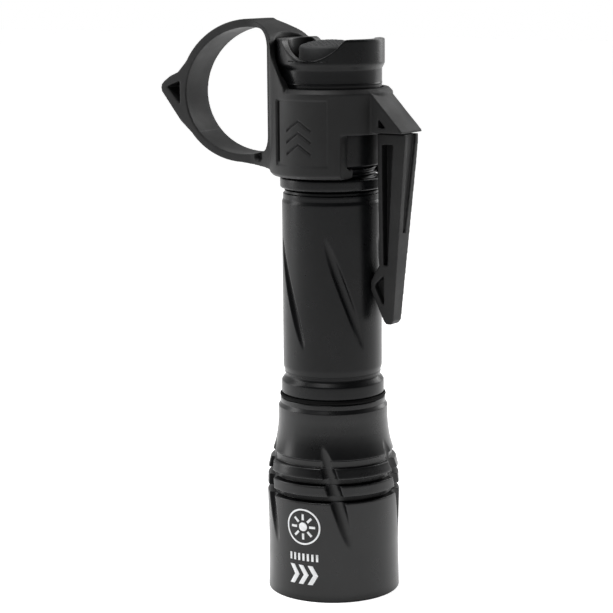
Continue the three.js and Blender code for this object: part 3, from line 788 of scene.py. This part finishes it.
webEdge = spline([
    (-4.3, 130.2), (-5.6, 132), (-7.4, 134.5), (-9, 136.2), (-10.4, 137.7), (-11.4, 139.3), (-12, 141),
    (-12.6, 142.2), (-13.6, 143.3), (-15.2, 144.4), (-17.6, 145.6), (-20.4, 146.7),
])
webOutline = [(-4.1, 128.7)] + webEdge + [(-22, 146.9), (-22, 113.1), (-9, 113.1), (-9, 128.7)]
spurOutline = [
    (-50, 127.7), (-44, 120.2), (-36, 113.5), (-38, 128.6), (-39.5, 138.4), (-42.6, 135), (-44.6, 132.9),
    (-47.2, 131.8), (-49.1, 130.5), (-50.1, 129.5), (-50.2, 128.6),
]
footOutline = [(-29, 111.2), (-24, 110.2), (-18, 109.6), (-9, 109), (-9, 116.1), (-20, 116.1)]


def roundOutline(x, z, radius, steps=96):
    turns = [2 * math.pi * k / steps for k in range(steps)]
    return [(x + radius * math.cos(turn), z + radius * math.sin(turn)) for turn in turns]


def cornerFillet(name, z, radius, zEdge):
    x = finger["edge"] - radius
    corner = blockXZ(name, x, finger["edge"] + 2, min(z, zEdge), max(z, zEdge), wide)
    return combine(corner, "DIFFERENCE", plateXZ(name + "Round", roundOutline(x, z, radius), wide + 2))


hole = combine(
    plateXZ("hole", ellipse(0), wide + 1), "INTERSECT",
    blockXZ("holeSide", -60, finger["edge"], 100, 155, wide + 3),
)
band = combine(
    plateXZ("band", ellipse(finger["wall"]), wide), "INTERSECT",
    blockXZ("bandFar", finger["farEnd"], finger["nearEnd"], 100, 155, wide + 2),
)
combine(
    band, "UNION", plateXZ("spur", spurOutline, wide), plateXZ("foot", footOutline, wide),
    plateXZ("web", webOutline, wide),
)
combine(band, "DIFFERENCE", hole)
upperCorner = cornerFillet("upperCorner", finger["upperHeight"], finger["upperRadius"], finger["filletTop"])
combine(upperCorner, "INTERSECT", plateXZ("webAgain", webOutline, wide + 1))
lowerCorner = cornerFillet("lowerCorner", finger["lowerHeight"], finger["lowerRadius"], finger["filletFoot"])
combine(band, "UNION", upperCorner, lowerCorner)
combine(band, "INTERSECT", plateXY("plan", bandPlan(), collar["low"], collar["webTop"]))


def collarTurned(name, *outline):
    return turned(name, np.array(outline, float), collar["segments"], closed=False)


shell = collarTurned(
    "ring_and_collar",
    (0, collar["low"]), (collar["radius"] - collar["footChamfer"], collar["low"]),
    (collar["radius"], collar["low"] + collar["footChamfer"]),
    (collar["radius"], collar["high"] - collar["topChamfer"]),
    (collar["radius"] - collar["topChamfer"], collar["high"]), (0, collar["high"]),
)
webShell = collarTurned(
    "webShell",
    (0, collar["webFoot"]), (collar["radius"], collar["webFoot"]), (collar["radius"], collar["webTop"]),
    (0, collar["webTop"]),
)
combine(webShell, "INTERSECT", plateXZ("webOnce", webOutline, wide + 1))
roof = combine(
    plateXZ("roof", clipRoof["outline"], clipRoof["width"]), "DIFFERENCE",
    plateXZ("roofHole", clipRoof["hole"], clipRoof["width"] + 2),
)
combine(shell, "UNION", webShell, band, roof)
boreFoot, boreTop = collar["low"] - 1, collar["webTop"] + 4
flangeTop = collar["low"] + collar["flange"]
bore = collarTurned(
    "bore",
    (0, boreFoot), (collar["flangeBore"], boreFoot), (collar["flangeBore"], flangeTop),
    (collar["bore"], flangeTop), (collar["bore"], collar["webBoreStart"]),
    (collar["webBore"], collar["webBoreFull"]), (collar["webBore"], boreTop), (0, boreTop),
)
spurHole = plateXZ("spurHole", spurHoleOutline, wide)
clipSide = blockXZ(
    "clipSide", clipRoof["windowFrom"], clipRoof["reach"], boreFoot, clipRoof["windowTop"], wide,
)
clipRoom = blockXZ("clipRoom", clipRoof["roomFrom"], clipRoof["reach"], boreFoot, clipRoof["roomTop"], wide)
combine(shell, "DIFFERENCE", bore, spurHole, clipSide, clipRoom)
moulded(shell, collar["voxel"], collar["relax"])

panel = dict(
    half=7.6, low=111.3, high=127.6, leftDepth=0.4, rightDepth=0.16, slitWidth=1.1, slitDepth=1.1,
    groove=0.42, grooveWidth=0.3,
    chevrons=3, chevronPitch=2.9, chevronHalf=3.6, chevronRise=2.4, chevronMiddle=118.4,
    dents=[(-18.9, 117.3, 0.8), (-18.7, 112.2, 0.9)], dentDepth=1.3, dentSpread=1.8,
)


def stepUp(value, edge, blur):
    return np.clip((value - edge) / blur + 0.5, 0, 1)


def pressPanel(made):
    # sinks the flat panel, its three chevrons and the two small dents into the moulded skin
    count = len(made.data.vertices)
    co = np.empty(count * 3)
    made.data.vertices.foreach_get("co", co)
    co = co.reshape(-1, 3)
    normal = np.empty(count * 3)
    made.data.vertices.foreach_get("normal", normal)
    normal = normal.reshape(-1, 3)
    x, y, z = co.T
    radius = np.hypot(x, y)
    outer = (np.abs(radius - collar["radius"]) < 0.5) & (y < 0) & (normal[:, 1] < -0.3)
    inside = stepUp(x, -panel["half"], 0.12) * stepUp(-x, -panel["half"], 0.25)
    inside = inside * stepUp(z, panel["low"], 0.25) * stepUp(-z, -panel["high"], 0.25)
    share = (x + panel["half"]) / (2 * panel["half"])
    fading = (panel["rightDepth"] - panel["leftDepth"]) * np.sqrt(np.clip(share, 0, 1))
    depth = inside * (panel["leftDepth"] + fading)
    for k in range(panel["chevrons"]):
        slope = panel["chevronRise"] * (0.5 - np.abs(x) / panel["chevronHalf"])
        line = panel["chevronMiddle"] + (k - 1) * panel["chevronPitch"] + slope
        near = np.clip(1.4 - np.abs(z - line) / panel["grooveWidth"], 0, 1)
        depth = depth + panel["groove"] * near * (np.abs(x) < panel["chevronHalf"])
    slit = stepUp(x, -panel["half"] - 0.1, 0.1) * stepUp(-x, panel["half"] - panel["slitWidth"], 0.1)
    slit = slit * stepUp(z, panel["low"] + 0.9, 0.3) * stepUp(-z, -panel["high"] + 0.5, 0.3)
    depth = depth + panel["slitDepth"] * slit
    sunk = np.where(outer, depth, 0)
    scale = (radius - sunk) / np.maximum(radius, 1e-6)
    co[:, 0] *= scale
    co[:, 1] *= scale
    for cx, cz, size in panel["dents"]:
        near = np.clip(panel["dentSpread"] - np.hypot(x - cx, z - cz) / size, 0, 1)
        co[:, 1] += np.where(normal[:, 1] < -0.4, panel["dentDepth"] * near, 0)
    made.data.vertices.foreach_set("co", co.ravel())
    made.data.update()


pressPanel(shell)
place(shell, "ring_collar", "mouldedNylon", "black_nylon", "finger_ring_collar")
print("collar done")


# the pocket clip arm
arm = dict(
    outline=[
        (15.65, 119.2), (15.65, 86.2), (13, 82), (13, 79.8), (16.6, 72), (17.3, 71.2), (18.7, 71.2),
        (19.4, 72.2), (23.6, 117.5), (23.6, 119.2),
    ],
    slot=[(16.9, 116.6), (20.1, 116.6), (18, 86.2), (16.8, 86.2)],
    padHole=[(16.8, 83.6), (14.3, 81.2), (14.3, 80.4), (16.7, 75.6)],
    width=6.5, tipWidth=4, taperTop=112, foot=70.2, top=120.2,
    web=1.2,  # left between the pockets of both sides
    channel=[(-2.1, 120.2), (-0.6, 94.5), (0.6, 94.5), (2.1, 120.2)],
    channelSide=[(22.9, 120.2), (22.9, 117.5), (20.9, 94.5), (22.5, 94.5), (25.6, 120.2)],
    voxel=0.16, relax=5,
)


def armPocket(name):
    web = blockXZ("web", 10, 30, 70, 120, arm["web"])
    return combine(plateXZ(name, arm[name], arm["width"] + 2), "DIFFERENCE", web)


armMade = combine(
    plateXZ("clip_arm", arm["outline"], arm["width"]), "DIFFERENCE", armPocket("slot"), armPocket("padHole"),
)


def plateYZ(name, outline, x0, x1):
    count = len(outline)
    points = [(x0, y, z) for y, z in outline] + [(x1, y, z) for y, z in outline]
    faces = [(i, (i + 1) % count, count + (i + 1) % count, count + i) for i in range(count)]
    faces += [tuple(range(count)), tuple(range(2 * count - 1, count - 1, -1))]
    return faceOutward(meshObject(name, points, faces))


armHalf, tipHalf = arm["width"] / 2, arm["tipWidth"] / 2
armTaper = [(-armHalf, arm["top"]), (-armHalf, arm["taperTop"]), (-tipHalf, arm["foot"])]
armTaper += [(-y, z) for y, z in reversed(armTaper)]
combine(armMade, "INTERSECT", plateYZ("armWidth", armTaper, 10, 30))
channel = combine(
    plateYZ("channel", arm["channel"], 10, 30), "INTERSECT",
    plateXZ("channelFloor", arm["channelSide"], arm["width"]),
)
combine(armMade, "DIFFERENCE", channel)
moulded(armMade, arm["voxel"], arm["relax"])
place(armMade, "clip_arm", "mouldedNylon", "black_nylon", "pocket_clip_arm")
print("clip done")


# inner pieces keep their frame shapes and take real finishes
innerFinishes = {
    "led_emitter": "phosphor", "emitter_board": "whiteBoard", "driver_housing": "brass",
    "driver_board": "printedCircuit", "driver_spring": "springSteel", "front_tube_seal": "sealRubber",
    "rear_tube_seal": "sealRubber", "battery_cell": "cellWrap", "battery_contact_cap": "springSteel",
    "switch_housing": "switchPlastic", "switch_plunger": "whiteBoard", "switch_board": "printedCircuit",
    "switch_clamp_ring": "brass", "tail_spring": "springSteel",
}
for node, finish in innerFinishes.items():
    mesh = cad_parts[node].data
    mesh.materials.clear()
    mesh.materials.append(materials[finish])
print("inner pieces done")


# a pale floor in an open white tent
studio = dict(
    floorSize=6.0, floorShade=0.9, floorGlow=0.74,
    backdrop=1.0,  # what shows behind the light
    sideSky=0.72, frontSky=0.1, topSky=0.45,  # a white tent, open and dark on one side, dimmer overhead
    frontAzimuth=-45, sideFrom=-0.5, sideTo=0.6, topFrom=0.25, topTo=0.95,
)
world = bpy.data.worlds.new("studio")
bpy.context.scene.world = world
world.use_nodes = True
skyTree = world.node_tree
sky = skyTree.nodes["Background"]
openSide = math.radians(studio["frontAzimuth"])
facing = addNode(skyTree, "ShaderNodeVectorMath", operation="DOT_PRODUCT")
facing.inputs[1].default_value = (math.cos(openSide), math.sin(openSide), 0)
skyCoords = skyTree.nodes.new("ShaderNodeTexCoord").outputs["Generated"]
skyTree.links.new(skyCoords, facing.inputs[0])
split = skyTree.nodes.new("ShaderNodeSeparateXYZ")
skyTree.links.new(skyCoords, split.inputs[0])
fade = rescaled(
    skyTree, facing.outputs["Value"], (studio["sideFrom"], studio["sideTo"]),
    (studio["sideSky"], studio["frontSky"]), smooth=True,
)
overhead = rescaled(
    skyTree, split.outputs["Z"], (studio["topFrom"], studio["topTo"]), (1.0, studio["topSky"]), smooth=True,
)
strength = addNode(skyTree, "ShaderNodeMath", operation="MULTIPLY")
skyTree.links.new(fade, strength.inputs[0])
skyTree.links.new(overhead, strength.inputs[1])
skyTree.links.new(strength.outputs[0], sky.inputs["Strength"])
plain = addNode(skyTree, "ShaderNodeBackground", Strength=studio["backdrop"])
plain.inputs["Color"].default_value = sky.inputs["Color"].default_value = (1, 1, 1, 1)
choose = skyTree.nodes.new("ShaderNodeMixShader")
skyTree.links.new(skyTree.nodes.new("ShaderNodeLightPath").outputs["Is Camera Ray"], choose.inputs["Fac"])
skyTree.links.new(sky.outputs[0], choose.inputs[1])
skyTree.links.new(plain.outputs[0], choose.inputs[2])
skyTree.links.new(choose.outputs[0], skyTree.nodes["World Output"].inputs["Surface"])

reach = studio["floorSize"] / 2
floorCorners = [(-reach, -reach, 0), (reach, -reach, 0), (reach, reach, 0), (-reach, reach, 0)]
floor = meshObject("studio_floor", floorCorners, [(0, 1, 2, 3)])
floorMaterial, floorTree, floorShader = newMaterial("paleFloor")
floorShader.inputs["Roughness"].default_value = 0.9
floorShader.inputs["Specular IOR Level"].default_value = 0.1
floorShade = rampOf(
    floorTree, noiseAt(floorTree, floorTree.nodes.new("ShaderNodeTexCoord").outputs["Object"], 3.0),
    [(0.3, studio["floorShade"] - 0.01), (0.7, studio["floorShade"])],
)
floorTree.links.new(floorShade, floorShader.inputs["Base Color"])
floorShader.inputs["Emission Color"].default_value = (1, 1, 1, 1)
floorShader.inputs["Emission Strength"].default_value = studio["floorGlow"]
floor.data.materials.append(floorMaterial)

softLights = [
    # name, azimuth and height of the lamp round the light, distance, size, watts
    ("left soft box", 205, 20, 0.6, (0.2, 0.5), 1.0),
    ("right soft box", 75, 25, 0.6, (0.2, 0.5), 1.0),
    ("top soft box", -110, 70, 0.7, (0.5, 0.4), 3.0),
]
target = Vector((axisX, axisY, 0.08))
for name, azimuth, rise, distance, size, watts in softLights:
    lamp = bpy.data.lights.new(name, "AREA")
    lamp.shape = "RECTANGLE"
    lamp.size, lamp.size_y = size
    lamp.energy = watts
    holder = bpy.data.objects.new(name, lamp)
    bpy.context.scene.collection.objects.link(holder)
    turn, lift = math.radians(azimuth), math.radians(rise)
    toward = Vector((math.cos(turn) * math.cos(lift), math.sin(turn) * math.cos(lift), math.sin(lift)))
    holder.location = target + toward * distance
    holder.rotation_euler = toward.to_track_quat("Z", "Y").to_euler()

# degrees and millimetres; the focal length and the shifts are shares of the picture's width
cameraFacts = dict(
    azimuth=33, elevation=10.4, roll=0.35, distance=514.5, aimHeight=70.38,
    focal=3.26264, right=0.042496, down=0.022023,
)
turn, lift, roll = (math.radians(cameraFacts[key]) for key in ("azimuth", "elevation", "roll"))
back = Vector((math.sin(turn) * math.cos(lift), -math.cos(turn) * math.cos(lift), math.sin(lift)))
sideways = Vector((math.cos(turn), math.sin(turn), 0))
upward = back.cross(sideways)
cameraX = sideways * math.cos(roll) - upward * math.sin(roll)
cameraY = sideways * math.sin(roll) + upward * math.cos(roll)
lensData = bpy.data.cameras.new("camera")
lensData.sensor_width = 36
lensData.lens = cameraFacts["focal"] * lensData.sensor_width
lensData.shift_x = -cameraFacts["right"]
lensData.shift_y = cameraFacts["down"]
lensData.clip_start = 0.01
camera = bpy.data.objects.new("camera", lensData)
bpy.context.scene.collection.objects.link(camera)
spot = Vector((axisX, axisY, cameraFacts["aimHeight"] * mm)) + back * cameraFacts["distance"] * mm
camera.matrix_world = Matrix((
    (cameraX.x, cameraY.x, back.x, spot.x),
    (cameraX.y, cameraY.y, back.y, spot.y),
    (cameraX.z, cameraY.z, back.z, spot.z),
    (0, 0, 0, 1),
))
bpy.context.scene.camera = camera
bpy.context.scene.view_settings.view_transform = "Standard"
print("studio done")
